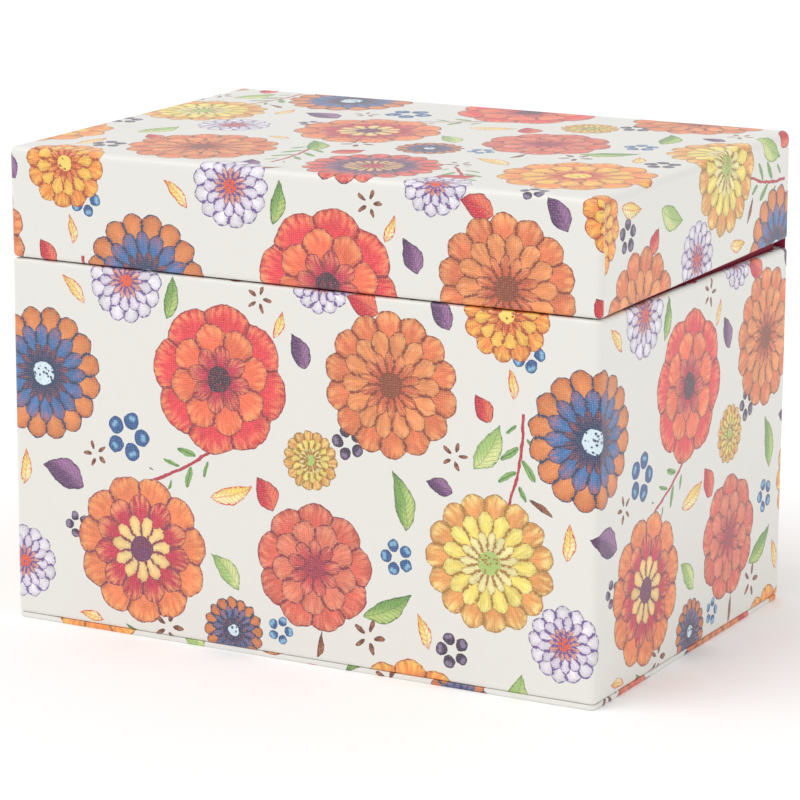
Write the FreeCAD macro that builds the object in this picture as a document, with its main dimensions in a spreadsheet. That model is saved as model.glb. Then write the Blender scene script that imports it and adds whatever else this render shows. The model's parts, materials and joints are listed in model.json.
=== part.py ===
import FreeCAD, Part
import math
import os
import Sketcher
from FreeCAD import Vector

# Index card box: greyboard tray and flip-top lid, covered in printed paper, with an inner
# collar that stands above the tray's rim. Millimetres, +Z up. The origin is at the middle of
# the footprint, on the surface that the box stands on; the hinge runs along the rear, at +Y.

os.makedirs("parts", exist_ok=True)
doc = FreeCAD.newDocument("IndexCardBox")

sizes = [
    ("box_width", 171.0),          # outside, side to side
    ("box_depth", 117.5),          # outside, front to rear
    ("seam_height", 97.8),         # table to the tray's rim
    ("lid_height", 29.3),          # lid's rim to its top
    ("seam_gap", 0.3),             # lid above the tray at the front
    ("hinge_lift", 2.4),           # lid above the tray at the rear, held up by the folded hinge
    ("board", 2.0),                # greyboard of the walls, floor and lid
    ("collar_board", 1.5),
    ("plate_board", 1.0),          # thin board under the tray
    ("paper", 0.2),                # covering and lining papers
    ("stay_paper", 0.1),           # tape let into the board at the corners
    ("stay_leg", 18.0),            # reach of each stay along the wall
    ("stay_margin", 3.0),          # stays stop short of the board's rounded edges
    ("corner_radius", 1.6),        # upright corners, over the paper
    ("top_radius", 2.2),           # round the lid's top, over the paper
    ("rim_radius", 1.2),           # where the paper turns over a rim
    ("foot_radius", 1.0),          # bottom edge of the tray
    ("plate_radius", 0.5),         # the paper's fold round the plate's square edges
    ("plate_inset", 0.2),          # plate inside the tray's outline
    ("turn_in", 14.0),             # paper turned over a rim, down the inside
    ("turn_under", 12.0),          # paper turned under the tray and over the plate
    ("collar_gap", 0.6),           # room round the collar for the lid to swing past it
    ("collar_rise", 8.0),          # collar above the tray's rim
    ("collar_turn", 25.0),         # collar paper down the outside
    ("hinge_inset", 1.0),          # hinge papers short of the corners
    ("outer_leaf", 22.0),          # outer hinge paper, glued up and down from the seam
    ("inner_leaf", 12.0),          # inner hinge paper, the same inside
    ("paste", 0.02),               # glue line between the hinge papers and what they lie on
]
sheet = doc.addObject("Spreadsheet::Sheet", "Sizes")
for row, (alias, value) in enumerate(sizes, start=1):
    sheet.set(f"A{row}", alias)
    sheet.set(f"B{row}", str(value))
    sheet.setAlias(f"B{row}", alias)
doc.recompute()

# Expressions that several pieces share.
width = "Sizes.box_width"
depth = "Sizes.box_depth"
paper = "Sizes.paper"
board = "Sizes.board"
plate_top = "(Sizes.plate_board + 2 * Sizes.paper)"
core_bottom = f"({plate_top} + {paper})"
floor_top = f"({core_bottom} + {board})"
core_top = f"(Sizes.seam_height - {paper})"
lid_core_top = f"(Sizes.lid_height - {paper})"
lid_ceiling = f"({lid_core_top} - {board})"
skin = paper                                              # outside face in to the board
wall = f"({paper} + {board})"                             # outside face in to the bare wall
lined_wall = f"(2 * {paper} + {board})"                   # outside face in to the turned-in paper
collar_skin = f"({lined_wall} + Sizes.collar_gap)"        # outside face in to the collar
collar_face = f"({collar_skin} + {paper})"
collar_back = f"({collar_face} + Sizes.collar_board)"
collar_inner = f"({collar_back} + {paper})"
collar_top = "(Sizes.seam_height + Sizes.collar_rise)"
lid_tilt = "((Sizes.hinge_lift - Sizes.seam_gap) / Sizes.box_depth)"   # sine of the lid's lean
lean_draw = f"({depth} * (1 - cos(asin({lid_tilt}))))"    # how far the lean draws the lid's rear forward


def origin_plane(body, role):
    return next(feature for feature in body.Origin.OriginFeatures if feature.Role == role)


def new_sketch(body, name, role="XY_Plane", level="0"):
    sketch = body.newObject("Sketcher::SketchObject", name)
    sketch.AttachmentSupport = [(origin_plane(body, role), "")]
    sketch.MapMode = "FlatFace"
    sketch.setExpression("AttachmentOffset.Base.z", level)
    return sketch


def bind_distance(sketch, kind, *place, size):
    index = sketch.addConstraint(Sketcher.Constraint(kind, *place))
    sketch.setExpression(f"Constraints[{index}]", size)


def rounded_rectangle(sketch, inset, radius):
    # Centred outline that lies inset from the box's outside on all four sides.
    first = sketch.GeometryCount
    half_x, half_y, start_radius = 50.0, 30.0, 1.0
    flat_x = half_x - start_radius
    flat_y = half_y - start_radius
    lines = [
        ((-flat_x, -half_y), (flat_x, -half_y)),
        ((half_x, -flat_y), (half_x, flat_y)),
        ((flat_x, half_y), (-flat_x, half_y)),
        ((-half_x, flat_y), (-half_x, -flat_y)),
    ]
    for start, end in lines:
        sketch.addGeometry(Part.LineSegment(Vector(*start, 0), Vector(*end, 0)))
    centres = [(flat_x, -flat_y), (flat_x, flat_y), (-flat_x, flat_y), (-flat_x, -flat_y)]
    for number, centre in enumerate(centres):
        turn = math.radians(90 * (number - 1))
        circle = Part.Circle(Vector(*centre, 0), Vector(0, 0, 1), start_radius)
        sketch.addGeometry(Part.ArcOfCircle(circle, turn, turn + math.pi / 2))
    for number in range(4):
        arc = first + 4 + number
        sketch.addConstraint(Sketcher.Constraint("Tangent", first + number, 2, arc, 1))
        sketch.addConstraint(Sketcher.Constraint("Tangent", arc, 2, first + (number + 1) % 4, 1))
        level = "Horizontal" if number % 2 == 0 else "Vertical"
        sketch.addConstraint(Sketcher.Constraint(level, first + number))
    for number in range(1, 4):
        sketch.addConstraint(Sketcher.Constraint("Equal", first + 4, first + 4 + number))
    sketch.addConstraint(Sketcher.Constraint("Symmetric", first + 4, 3, first + 6, 3, -1, 1))
    bind_distance(sketch, "Radius", first + 4, 1.0, size=radius)
    bind_distance(sketch, "DistanceX", first + 3, 1, first + 1, 1, 100.0, size=f"{width} - 2 * {inset}")
    bind_distance(sketch, "DistanceY", first, 1, first + 2, 1, 60.0, size=f"{depth} - 2 * {inset}")


def polygon(sketch, corners):
    # Closed outline whose corners are pairs of expressions in the sketch's own axes.
    first = sketch.GeometryCount
    count = len(corners)
    start_radius = 40.0
    spots = []
    for number in range(count):
        turn = math.radians(225 + 360 * number / count)
        spots.append(Vector(start_radius * math.cos(turn), start_radius * math.sin(turn), 0))
    for number in range(count):
        sketch.addGeometry(Part.LineSegment(spots[number], spots[(number + 1) % count]))
    for number in range(count):
        following = first + (number + 1) % count
        sketch.addConstraint(Sketcher.Constraint("Coincident", first + number, 2, following, 1))
    for number, (across, along) in enumerate(corners):
        bind_distance(sketch, "DistanceX", first + number, 1, spots[number].x, size=across)
        bind_distance(sketch, "DistanceY", first + number, 1, spots[number].y, size=along)


def rectangle(sketch, inset):
    half_width = f"({width} / 2 - {inset})"
    half_depth = f"({depth} / 2 - {inset})"
    polygon(sketch, [
        (f"-{half_width}", f"-{half_depth}"),
        (half_width, f"-{half_depth}"),
        (half_width, half_depth),
        (f"-{half_width}", half_depth),
    ])


def new_body(label):
    body = doc.addObject("PartDesign::Body", label)
    body.Label = label
    return body


def pad(body, sketch, length, midplane=False):
    feature = body.newObject("PartDesign::Pad", sketch.Name + "_pad")
    feature.Profile = sketch
    feature.Midplane = midplane
    feature.setExpression("Length", length)
    doc.recompute()
    return feature


def pocket(body, sketch, length):
    # Cuts upward from the sketch, and must take material away.
    before = body.Shape.Volume
    feature = body.newObject("PartDesign::Pocket", sketch.Name + "_pocket")
    feature.Profile = sketch
    feature.Reversed = True
    feature.setExpression("Length", length)
    doc.recompute()
    if feature.Shape.Volume >= before:
        raise ValueError(f"{feature.Name} cuts nothing")
    return feature


def round_edge(body, feature, level, radius, inset="0"):
    # Rounds one flat end all round: the level edges that lie on the outline at this inset.
    height = sheet.evalExpression(level)
    half_width = sheet.evalExpression(f"{width} / 2 - {inset}")
    half_depth = sheet.evalExpression(f"{depth} / 2 - {inset}")
    reach = sheet.evalExpression("Sizes.corner_radius") / 2
    names = []
    for number, edge in enumerate(feature.Shape.Edges, start=1):
        level_edge = max(abs(edge.BoundBox.ZMin - height), abs(edge.BoundBox.ZMax - height)) < 0.001
        middle = edge.CenterOfMass
        outer = abs(middle.x) > half_width - reach or abs(middle.y) > half_depth - reach
        if level_edge and outer:
            names.append(f"Edge{number}")
    fillet = body.newObject("PartDesign::Fillet", f"{body.Name}_round")
    fillet.Base = (feature, names)
    fillet.setExpression("Radius", radius)
    doc.recompute()
    return fillet


def slab(label, inset, bottom, thickness):
    # A sheet that fills the outline at this inset.
    body = new_body(label)
    sketch = new_sketch(body, f"{label}_outline", level=bottom)
    rectangle(sketch, inset)
    pad(body, sketch, thickness)
    return body


def ring(label, outer, inner, bottom, height):
    # A four-sided frame between two square-cornered outlines.
    body = new_body(label)
    sketch = new_sketch(body, f"{label}_outline", level=bottom)
    rectangle(sketch, outer)
    rectangle(sketch, inner)
    pad(body, sketch, height)
    return body


def box(label, length, breadth, height, across, along, level):
    # A plain block, centred on x = across and y = along, standing on z = level.
    block = doc.addObject("Part::Box", label)
    block.setExpression("Length", length)
    block.setExpression("Width", breadth)
    block.setExpression("Height", height)
    block.setExpression("Placement.Base.x", f"{across} - ({length}) / 2")
    block.setExpression("Placement.Base.y", f"{along} - ({breadth}) / 2")
    block.setExpression("Placement.Base.z", level)
    return block


def cut(label, base, tool):
    result = doc.addObject("Part::Cut", label)
    result.Label = label
    result.Base = base
    result.Tool = tool
    return result


def common(label, base, tool):
    result = doc.addObject("Part::Common", label)
    result.Label = label
    result.Base = base
    result.Tool = tool
    return result


def four_boards(prefix, core, outer, inner, bottom, height):
    # Splits a frame into panels: front and back at full width, left and right between them.
    thickness = f"({inner} - {outer})"
    span = f"({width} - 2 * {outer})"
    between = f"({depth} - 2 * {inner})"
    edge_x = f"({width} / 2 - {outer} - {thickness} / 2)"
    edge_y = f"({depth} / 2 - {outer} - {thickness} / 2)"
    zones = {
        "front": (span, thickness, "0", f"-{edge_y}"),
        "back": (span, thickness, "0", edge_y),
        "left": (thickness, between, f"-{edge_x}", "0"),
        "right": (thickness, between, edge_x, "0"),
    }
    panels = []
    for side, (length, breadth, across, along) in zones.items():
        label = f"{prefix}_{side}_board"
        zone = box(f"{label}_zone", length, breadth, height, across, along, bottom)
        panels.append(common(label, core, zone))
    return panels


def corner_tape(label, bottom, height):
    # Four strips of tape, each bent round an upright corner and let into the board's face.
    body = new_body(label)
    body.AllowCompound = True
    sketch = new_sketch(body, f"{label}_strips", level=bottom)
    rounded_rectangle(sketch, skin, f"Sizes.corner_radius - {paper}")
    let_in = f"({paper} + Sizes.stay_paper)"
    rounded_rectangle(sketch, let_in, f"Sizes.corner_radius - {let_in}")
    pad(body, sketch, height)
    clear = new_sketch(body, f"{label}_clear", level=bottom)
    near_x = f"({width} / 2 - Sizes.stay_leg)"
    near_y = f"({depth} / 2 - Sizes.stay_leg)"
    far_x = f"({width} / 2 + Sizes.stay_leg)"
    far_y = f"({depth} / 2 + Sizes.stay_leg)"
    polygon(clear, [
        (f"-{near_x}", f"-{far_y}"), (near_x, f"-{far_y}"),
        (near_x, f"-{near_y}"), (far_x, f"-{near_y}"),
        (far_x, near_y), (near_x, near_y),
        (near_x, far_y), (f"-{near_x}", far_y),
        (f"-{near_x}", near_y), (f"-{far_x}", near_y),
        (f"-{far_x}", f"-{near_y}"), (f"-{near_x}", f"-{near_y}"),
    ])
    pocket(body, clear, height)
    return body


def base_bottom_plate():
    # Thin board under the tray, with its own covering turned over its top.
    board_body = new_body("base_plate_board")
    outline = new_sketch(board_body, "plate_outline", level=paper)
    rounded_rectangle(outline, f"(Sizes.plate_inset + {paper})", f"Sizes.corner_radius - {paper}")
    pad(board_body, outline, "Sizes.plate_board")

    form = new_body("base_plate_form")
    outline = new_sketch(form, "plate_wrap_outline")
    rounded_rectangle(outline, "Sizes.plate_inset", "Sizes.corner_radius")
    plate = pad(form, outline, plate_top)
    under = round_edge(form, plate, "0", "Sizes.plate_radius", "Sizes.plate_inset")
    round_edge(form, under, plate_top, "Sizes.plate_radius", "Sizes.plate_inset")
    window = new_sketch(form, "plate_window", level=paper)
    rectangle(window, "Sizes.turn_under")
    pocket(form, window, plate_top)
    return [board_body, cut("base_plate_wrap", form, board_body)]


def base_tray():
    # Four walls round a floor, stayed at the corners and wrapped in one printed sheet.
    height = f"({core_top} - {core_bottom})"
    core = new_body("base_core")
    outline = new_sketch(core, "base_core_outline", level=core_bottom)
    rounded_rectangle(outline, skin, f"Sizes.corner_radius - {paper}")
    rectangle(outline, wall)
    walls = pad(core, outline, height)
    rim = round_edge(core, walls, core_top, f"Sizes.rim_radius - {paper}", skin)
    round_edge(core, rim, core_bottom, f"Sizes.foot_radius - {paper}", skin)

    tape_height = f"({height} - 2 * Sizes.stay_margin)"
    tape = corner_tape("base_tape", f"{core_bottom} + Sizes.stay_margin", tape_height)
    stays = common("base_corner_stays", core, tape)
    boards = four_boards("base", cut("base_stayed_core", core, tape), skin, wall, core_bottom, height)
    floor = slab("base_floor_board", wall, core_bottom, board)

    form = new_body("base_wrap_form")
    outline = new_sketch(form, "base_wrap_outline", level=plate_top)
    rounded_rectangle(outline, "0", "Sizes.corner_radius")
    block = pad(form, outline, f"Sizes.seam_height - {plate_top}")
    rim = round_edge(form, block, "Sizes.seam_height", "Sizes.rim_radius")
    round_edge(form, rim, plate_top, "Sizes.foot_radius")
    window = new_sketch(form, "base_window", level=plate_top)
    rectangle(window, "Sizes.turn_under")
    pocket(form, window, paper)
    well = new_sketch(form, "base_well", level=core_bottom)
    rectangle(well, wall)
    pocket(form, well, f"Sizes.seam_height - Sizes.turn_in - {core_bottom}")
    mouth = new_sketch(form, "base_mouth", level="Sizes.seam_height - Sizes.turn_in")
    rectangle(mouth, lined_wall)
    pocket(form, mouth, "Sizes.turn_in")
    leaf = box(
        "base_hinge_seat", f"{width} - 2 * Sizes.hinge_inset", paper, "Sizes.outer_leaf",
        "0", f"({depth} / 2 - {paper} / 2)", "Sizes.seam_height - Sizes.outer_leaf")
    wrap = cut("base_wrap", cut("base_wrap_skin", form, core), leaf)
    return [*boards, stays, floor, wrap]


def collar():
    # Frame of thinner board inside the tray, covered in lining paper on both faces.
    core_height = f"({collar_top} - {paper} - {floor_top})"
    core = ring("collar_core", collar_face, collar_back, floor_top, core_height)
    boards = four_boards("collar", core, collar_face, collar_back, floor_top, core_height)
    form = new_body("collar_wrap_form")
    inside = new_sketch(form, "collar_inside_leaf", level=floor_top)
    rectangle(inside, collar_back)
    rectangle(inside, collar_inner)
    pad(form, inside, f"{collar_top} - {floor_top}")
    outside = new_sketch(form, "collar_outside_leaf", level=f"{collar_top} - Sizes.collar_turn")
    rectangle(outside, collar_skin)
    rectangle(outside, collar_inner)
    pad(form, outside, "Sizes.collar_turn")
    wrap = cut("collar_wrap", form, core)
    lining = slab("floor_lining", collar_inner, floor_top, paper)
    return [*boards, wrap, lining]


def seat_on_tray(piece):
    # The lid leans on the tray's front rim, and the folded hinge holds its rear edge a little up.
    # Its pieces are drawn with the rim at z = 0, and lean about the rim's front edge.
    piece.Placement.Rotation.Axis = Vector(1, 0, 0)
    piece.setExpression("Placement.Rotation.Angle", f"asin({lid_tilt})")
    piece.setExpression("Placement.Base.y", f"{depth} / 2 * (cos(asin({lid_tilt})) - 1)")
    mean_gap = "(Sizes.seam_gap + Sizes.hinge_lift) / 2"
    piece.setExpression("Placement.Base.z", f"Sizes.seam_height + {mean_gap}")


def lid_shell():
    # Four walls under a top board, stayed at the corners and wrapped in one printed sheet.
    core = new_body("lid_core")
    outline = new_sketch(core, "lid_core_outline", level=paper)
    rounded_rectangle(outline, skin, f"Sizes.corner_radius - {paper}")
    block = pad(core, outline, f"{lid_core_top} - {paper}")
    top = round_edge(core, block, lid_core_top, f"Sizes.top_radius - {paper}", skin)
    round_edge(core, top, paper, f"Sizes.rim_radius - {paper}", skin)
    hollow = new_sketch(core, "lid_hollow", level=paper)
    rectangle(hollow, wall)
    pocket(core, hollow, f"{lid_ceiling} - {paper}")

    tape_height = f"({lid_core_top} - {paper} - 2 * Sizes.stay_margin)"
    tape = corner_tape("lid_tape", f"{paper} + Sizes.stay_margin", tape_height)
    stays = common("lid_corner_stays", core, tape)
    stayed = cut("lid_stayed_core", core, tape)
    boards = four_boards("lid", stayed, skin, wall, paper, f"{lid_ceiling} - {paper}")
    top_zone = box("lid_top_board_zone", width, depth, board, "0", "0", lid_ceiling)
    boards.append(common("lid_top_board", stayed, top_zone))

    form = new_body("lid_wrap_form")
    outline = new_sketch(form, "lid_wrap_outline")
    rounded_rectangle(outline, "0", "Sizes.corner_radius")
    block = pad(form, outline, "Sizes.lid_height")
    top = round_edge(form, block, "Sizes.lid_height", "Sizes.top_radius")
    round_edge(form, top, "0", "Sizes.rim_radius")
    mouth = new_sketch(form, "lid_mouth")
    rectangle(mouth, lined_wall)
    pocket(form, mouth, "Sizes.turn_in")
    hollow = new_sketch(form, "lid_wrap_hollow", level="Sizes.turn_in")
    rectangle(hollow, wall)
    pocket(form, hollow, f"{lid_ceiling} - Sizes.turn_in")
    leaf = box(
        "lid_hinge_seat", f"{width} - 2 * Sizes.hinge_inset", paper, "Sizes.outer_leaf",
        "0", f"({depth} / 2 - {paper} / 2)", "0")
    wrap = cut("lid_wrap", cut("lid_wrap_skin", form, core), leaf)

    lined_height = f"({lid_ceiling} - Sizes.turn_in)"
    side_lining = ring("lid_side_lining", wall, lined_wall, "Sizes.turn_in", lined_height)
    top_lining = slab("lid_top_lining", lined_wall, f"{lid_ceiling} - {paper}", paper)
    pieces = [*boards, stays, wrap, side_lining, top_lining]
    for piece in pieces:
        seat_on_tray(piece)
    return pieces


def hinge_paper(label, inset, leaf):
    # One strip up the inside or outside of the rear walls, bent where the lid starts to lean.
    body = new_body(label)
    profile = new_sketch(body, f"{label}_profile", role="YZ_Plane")
    face = f"({depth} / 2 - {inset})"
    near = f"({face} - {paper})"
    length = f"({leaf} - Sizes.paste)"
    fold = "(Sizes.seam_height + Sizes.hinge_lift)"
    lean = f"({length} * {lid_tilt})"
    rise = f"({fold} + {length} * cos(asin({lid_tilt})))"
    polygon(profile, [
        (near, f"Sizes.seam_height - {length}"),
        (face, f"Sizes.seam_height - {length}"),
        (face, fold),
        (f"{face} - {lean}", rise),
        (f"{near} - {lean}", rise),
        (near, fold),
    ])
    pad(body, profile, f"{width} - 2 * ({inset} + Sizes.hinge_inset + Sizes.paste)", midplane=True)
    return body


pieces = [
    *base_bottom_plate(),
    *base_tray(),
    *collar(),
    *lid_shell(),
    hinge_paper("outer_hinge_paper", "0", "Sizes.outer_leaf"),
    hinge_paper("inner_hinge_paper", f"({lined_wall} + {lean_draw} + Sizes.paste)", "Sizes.inner_leaf"),
]
doc.recompute()

for item in doc.Objects:
    if "Invalid" in item.State or "Error" in item.State:
        raise ValueError(f"{item.Name} failed: {item.State}")
for piece in pieces:
    if piece.Shape.isNull() or not piece.Shape.isValid():
        raise ValueError(f"{piece.Label} has no sound shape")
for piece in pieces:
    piece.Shape.exportStep(f"parts/{piece.Label}.step")
    print(f"{piece.Label}: {len(piece.Shape.Solids)} solid(s), {piece.Shape.Volume:.1f} mm3")
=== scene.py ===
import json
import math
from collections import namedtuple

import bmesh
import bpy
from mathutils import Matrix, Vector, noise


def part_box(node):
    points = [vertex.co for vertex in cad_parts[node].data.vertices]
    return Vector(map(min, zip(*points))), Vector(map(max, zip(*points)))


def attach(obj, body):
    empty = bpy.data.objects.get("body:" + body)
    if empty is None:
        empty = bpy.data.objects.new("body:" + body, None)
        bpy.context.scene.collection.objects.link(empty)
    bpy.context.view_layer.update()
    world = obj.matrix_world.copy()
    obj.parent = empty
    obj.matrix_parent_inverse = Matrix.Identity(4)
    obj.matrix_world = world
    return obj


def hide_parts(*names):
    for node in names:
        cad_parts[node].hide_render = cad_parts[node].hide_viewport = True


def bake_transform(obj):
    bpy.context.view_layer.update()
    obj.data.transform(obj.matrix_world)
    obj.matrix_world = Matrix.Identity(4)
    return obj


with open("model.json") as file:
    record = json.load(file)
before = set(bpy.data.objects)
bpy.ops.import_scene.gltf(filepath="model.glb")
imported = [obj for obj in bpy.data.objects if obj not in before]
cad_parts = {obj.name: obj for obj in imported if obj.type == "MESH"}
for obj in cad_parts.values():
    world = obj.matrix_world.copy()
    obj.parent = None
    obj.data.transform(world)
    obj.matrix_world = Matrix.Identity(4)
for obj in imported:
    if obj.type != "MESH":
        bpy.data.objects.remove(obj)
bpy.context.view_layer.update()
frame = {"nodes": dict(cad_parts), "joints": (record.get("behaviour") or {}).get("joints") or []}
scene = bpy.context.scene
mm = 0.001
print("frame loaded")


# box sizes, read from the frame

def readBox(node):
    low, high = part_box(node)
    return Vector(low), Vector(high)


trayLow, trayHigh = readBox("base_wrap")
plateLow, plateHigh = readBox("base_plate_wrap")
lidLow, lidHigh = readBox("lid_wrap")
collarLow, collarHigh = readBox("collar_wrap")
hingeSpot = Vector(frame["joints"][0]["pos_m"])
halfWidth = trayHigh.x
halfDepth = trayHigh.y
print("sizes read")


# camera

cameraSettings = {
    "spot": (0.43081, -0.79489, 0.26032),        # metres
    "yaw": 28.52,            # degrees, turned to the left of straight ahead
    "pitch": 12.64,          # degrees, downwards
    "roll": 0.29,
    "lens": 155.6,           # millimetres, as the sensor is
    "sensor": 36.0,
    "clip": (0.05, 100.0),   # metres
}


def makeCamera(settings):
    data = bpy.data.cameras.new("camera")
    data.lens = settings["lens"]
    data.sensor_width = settings["sensor"]
    data.clip_start, data.clip_end = settings["clip"]
    camera = bpy.data.objects.new("camera", data)
    camera.location = settings["spot"]
    turns = ((settings["yaw"], "Z"), (90 - settings["pitch"], "X"), (settings["roll"], "Z"))
    yaw, pitch, roll = (Matrix.Rotation(math.radians(angle), 4, axis) for angle, axis in turns)
    camera.rotation_euler = (yaw @ pitch @ roll).to_euler()
    scene.collection.objects.link(camera)
    scene.camera = camera


makeCamera(cameraSettings)
print("camera set")


# shader sums

class Wire:
    # a socket that can be used in sums
    def __init__(self, socket):
        self.socket = socket

    def add(self, kind, settings=None, inputs=None, output=0):
        # a new node: its settings come first, then the values or wires of its sockets
        tree = self.socket.id_data
        node = tree.nodes.new("ShaderNode" + kind)
        for name, value in (settings or {}).items():
            if name == "stops":
                fillRamp(node.color_ramp, value)
            else:
                setattr(node, name, value)
        for place, value in (inputs or {}).items():
            if isinstance(value, Wire):
                tree.links.new(value.socket, node.inputs[place])
            else:
                node.inputs[place].default_value = value
        return Wire(node.outputs[output])

    def math(self, operation, *others):
        return self.add("Math", {"operation": operation}, dict(enumerate((self, *others))))

    def vector(self, operation, *others, output=0):
        values = dict(enumerate((self, *others)))
        return self.add("VectorMath", {"operation": operation}, values, output)

    def flip(self, operation, first):
        return self.add("Math", {"operation": operation}, {0: first, 1: self})

    def __add__(self, other):
        return self.math("ADD", other)

    def __radd__(self, other):
        return self.flip("ADD", other)

    def __sub__(self, other):
        return self.math("SUBTRACT", other)

    def __rsub__(self, other):
        return self.flip("SUBTRACT", other)

    def __mul__(self, other):
        return self.math("MULTIPLY", other)

    def __rmul__(self, other):
        return self.flip("MULTIPLY", other)

    def __truediv__(self, other):
        return self.math("DIVIDE", other)

    def __rtruediv__(self, other):
        return self.flip("DIVIDE", other)

    def __lt__(self, other):
        return self.math("LESS_THAN", other)

    def __gt__(self, other):
        return self.math("GREATER_THAN", other)


def fillRamp(colourRamp, stops):
    # each stop's colour holds until the next one
    colourRamp.interpolation = "CONSTANT"
    while len(colourRamp.elements) < len(stops):
        colourRamp.elements.new(1.0)
    for element, (spot, colour) in zip(colourRamp.elements, stops):
        element.position = spot
        element.color = colour


def tint(code):
    # a web colour as linear light
    channels = [int(code[place:place + 2], 16) / 255 for place in (1, 3, 5)]
    linear = [c / 12.92 if c < 0.04045 else ((c + 0.055) / 1.055) ** 2.4 for c in channels]
    return (*linear, 1.0)


# a Mix node's sockets go by number: 6, 7 and out at 2 for colours, 4, 5 and out at 1 for vectors

def mixColour(mask, under, over):
    return mask.add("Mix", {"data_type": "RGBA"}, {0: mask, 6: under, 7: over}, 2)


def mixVector(mask, under, over):
    return mask.add("Mix", {"data_type": "VECTOR"}, {0: mask, 4: under, 5: over}, 1)


def scaled(vector, factor):
    # a vector or a colour, times a number
    return vector.add("VectorMath", {"operation": "SCALE"}, {0: vector, "Scale": factor})


def lengthOf(vector):
    return vector.vector("LENGTH", output="Value")


def split(vector, count=2):
    sockets = vector.add("SeparateXYZ", {}, {0: vector}).socket.node.outputs
    return [Wire(sockets[number]) for number in range(count)]


def join(x, y, z=0.0):
    return x.add("CombineXYZ", {}, {0: x, 1: y, 2: z})


def ease(value, low, high, fromValue=0.0, toValue=1.0):
    # goes softly from one value to another while the input goes from low to high
    inputs = {
        "Value": value,
        "From Min": low,
        "From Max": high,
        "To Min": fromValue,
        "To Max": toValue,
    }
    return value.add("MapRange", {"interpolation_type": "SMOOTHSTEP"}, inputs)


def between(share, low, high):
    # goes evenly from low to high while the share goes from 0 to 1
    return share * (high - low) + low


def fromWhole(value):
    # how far a value is from the nearest whole number
    return value.math("PINGPONG", 0.5)


def cloud(spot, scale, detail, roughness=0.5, output=0):
    inputs = {"Vector": spot, "Scale": scale, "Detail": detail, "Roughness": roughness}
    return spot.add("TexNoise", {}, inputs, output)


cloudRange = (0.3, 0.7)      # most of a cloud's values lie between these
patchRange = (0.35, 0.65)    # a narrower range gives clearer patches


def startMaterial(name, settings):
    # a new material, its shader, and a wire that the first nodes are added from
    material = bpy.data.materials.new(name)
    material.use_nodes = True
    shader = material.node_tree.nodes["Principled BSDF"]
    shader.inputs["Roughness"].default_value = settings["rough"]
    shader.inputs["Specular IOR Level"].default_value = settings["specular"]
    return material, shader, Wire(shader.outputs["BSDF"])


def plug(wire, shader, name):
    wire.socket.id_data.links.new(wire.socket, shader.inputs[name])


def plugRoughness(shader, spread, settings):
    # strays as far below the roughness in the settings as above it
    low, high = settings["rough"] - settings["uneven"], settings["rough"] + settings["uneven"]
    plug(ease(spread, *cloudRange, low, high), shader, "Roughness")


def addBump(shader, height, settings):
    inputs = {"Height": height, "Distance": settings["bump"], "Strength": settings["strength"]}
    plug(height.add("Bump", {}, inputs), shader, "Normal")


# printed paper: scattered watercolour blooms, leaves, sprigs and berries on ivory
# lengths are millimetres here, a cloud has a scale, a detail and maybe a roughness,
# tones are a least and a greatest brightness, and a rim runs inwards from an outline

printSettings = {
    "tile": (160.0, 140.0),      # the design repeats after this
    "ivory": "#E6E4DE",
    "ivoryTones": (0.985, 1.01),
    "wobble": 0.6,               # hand-drawn waver of the outlines
    "wobbleCloud": (0.35, 2.0),
    "ink": 0.26,                 # width of the drawn outlines
    "inkWidths": (0.3, 1.3),     # a line thins and thickens between these shares
    "inkCloud": (1.1, 2.0),
    "blotCloud": (0.22, 4.0, 0.6),
    "blotTones": (0.92, 1.06),
    "toothCloud": (2.6, 2.0),    # the paper's tooth
    "toothTones": (0.94, 1.05),
    "threads": 0.58,             # linen embossing, from thread to thread
    # painted sheen on the crowns of the threads and painted shade in the grooves between them, as tones
    # of the ink
    "threadSheenAndShadeTones": (0.935, 1.095),
    "crowns": (0.3, 1.0),        # the painted sheen grows between these heights of a thread
    "bareCloud": (1.7, 3.0),
    "bareRange": (0.4, 0.65),
    "bare": (0.02, 0.28),        # strength of the painted sheen on the crowns, towards ivory
    "rough": 0.5,
    "uneven": 0.04,
    "specular": 0.5,
    "varnish": 0.5,              # share of a glossier coat over the paper
    "varnishRough": 0.3,
    "bump": 0.02 * mm,
    "strength": 0.6,
    "toothHeight": 0.6,          # against the threads
}


def ramp(key, kinds, column):
    # looks one column of a table of kinds up with the kind's number
    stops = []
    for number, kind in enumerate(kinds.values()):
        value = getattr(kind, column)
        colour = tint(value) if isinstance(value, str) else (value, value, value, 1.0)
        stops.append((number / len(kinds), colour))
    return key.add("ValToRGB", {"stops": stops}, {"Fac": key})


def nearest(spot, slots, names):
    # the motif that the spot is nearest to: place from its middle, size, kind's number and turn
    width, height = printSettings["tile"]
    corner = (width / 2, height / 2, 1)
    opposite = (-width / 2, -height / 2, -1)
    place = reach = facts = None
    for x, y, size, kind, turn in slots:
        offset = spot.vector("SUBTRACT", (x, y, 0)).vector("WRAP", corner, opposite)
        away = lengthOf(offset) - size
        own = (size, (names.index(kind) + 0.5) / len(names), turn)
        if place is None:
            place, reach, facts = offset, away, own
            continue
        closer = away < reach
        place = mixVector(closer, place, offset)
        facts = mixVector(closer, facts, own)
        reach = reach.math("MINIMUM", away)
    return place, *split(facts, 3)


def turned(place, degrees):
    inputs = {"Vector": place, "Angle": degrees * math.radians(1)}
    return split(place.add("VectorRotate", {"rotation_type": "Z_AXIS"}, inputs))


def polar(place, turn):
    # distance from the middle, and share of a full turn
    x, y = split(place)
    return lengthOf(place), y.math("ARCTAN2", x) / (2 * math.pi) + turn


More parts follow.
